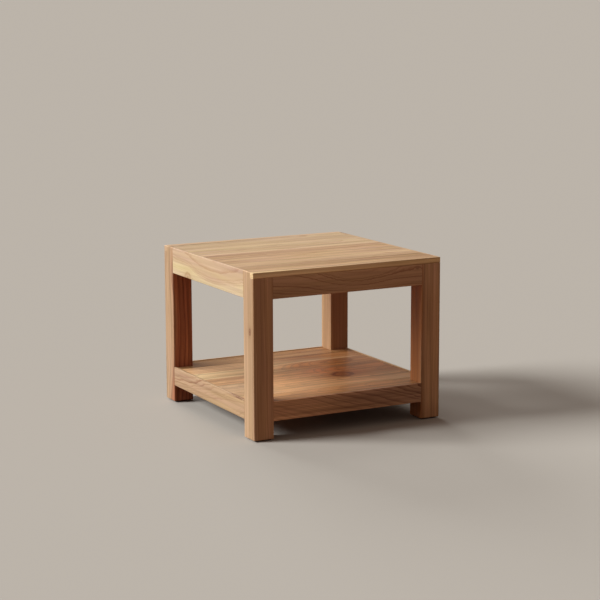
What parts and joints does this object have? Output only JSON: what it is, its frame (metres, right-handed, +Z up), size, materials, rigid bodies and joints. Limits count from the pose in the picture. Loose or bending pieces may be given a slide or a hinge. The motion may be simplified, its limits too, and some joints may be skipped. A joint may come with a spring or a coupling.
{
  "type": "coffee table",
  "caption": "Square solid-wood coffee table with thick corner posts, flush aprons, a boarded top and a boarded lower shelf.",
  "frame": {"origin": "on the floor, under the middle of the table", "axes": "+Z up; +X to the right and +Y to the back when facing the front; the boards run along X"},
  "size_m": [0.57, 0.57, 0.45],
  "materials": {
    "leg_wood": "oiled satin",
    "apron_wood": "oiled satin",
    "rail_wood": "oiled satin",
    "strip_wood": "oiled satin",
    "top_wood": "oiled satin",
    "shelf_wood": "oiled satin",
    "bearer_wood": "sawn and sanded",
    "button_wood": "sanded",
    "screw_steel": "zinc plated",
    "glide_nylon": "matt"
  },
  "bodies": {
    "root": {"leg_front_left": "leg_wood", "glide_front_left": "glide_nylon", "leg_front_right": "leg_wood", "glide_front_right": "glide_nylon", "leg_back_left": "leg_wood", "glide_back_left": "glide_nylon", "leg_back_right": "leg_wood", "glide_back_right": "glide_nylon", "apron_front": "apron_wood", "shelf_rail_front": "rail_wood", "apron_back": "apron_wood", "shelf_rail_back": "rail_wood", "apron_left": "apron_wood", "shelf_rail_left": "rail_wood", "apron_right": "apron_wood", "shelf_rail_right": "rail_wood", "edge_strip_front": "strip_wood", "edge_strip_back": "strip_wood", "top_plank_1": "top_wood", "shelf_plank_1": "shelf_wood", "top_plank_2": "top_wood", "shelf_plank_2": "shelf_wood", "top_plank_3": "top_wood", "shelf_plank_3": "shelf_wood", "top_plank_4": "top_wood", "shelf_plank_4": "shelf_wood", "top_plank_5": "top_wood", "shelf_plank_5": "shelf_wood", "top_plank_6": "top_wood", "shelf_plank_6": "shelf_wood", "top_plank_7": "top_wood", "shelf_plank_7": "shelf_wood", "top_bearer": "bearer_wood", "shelf_bearer": "bearer_wood", "top_buttons": "button_wood", "button_screws": "screw_steel", "top_bearer_screws": "screw_steel", "shelf_bearer_screws": "screw_steel"}
  },
  "joints": []
}
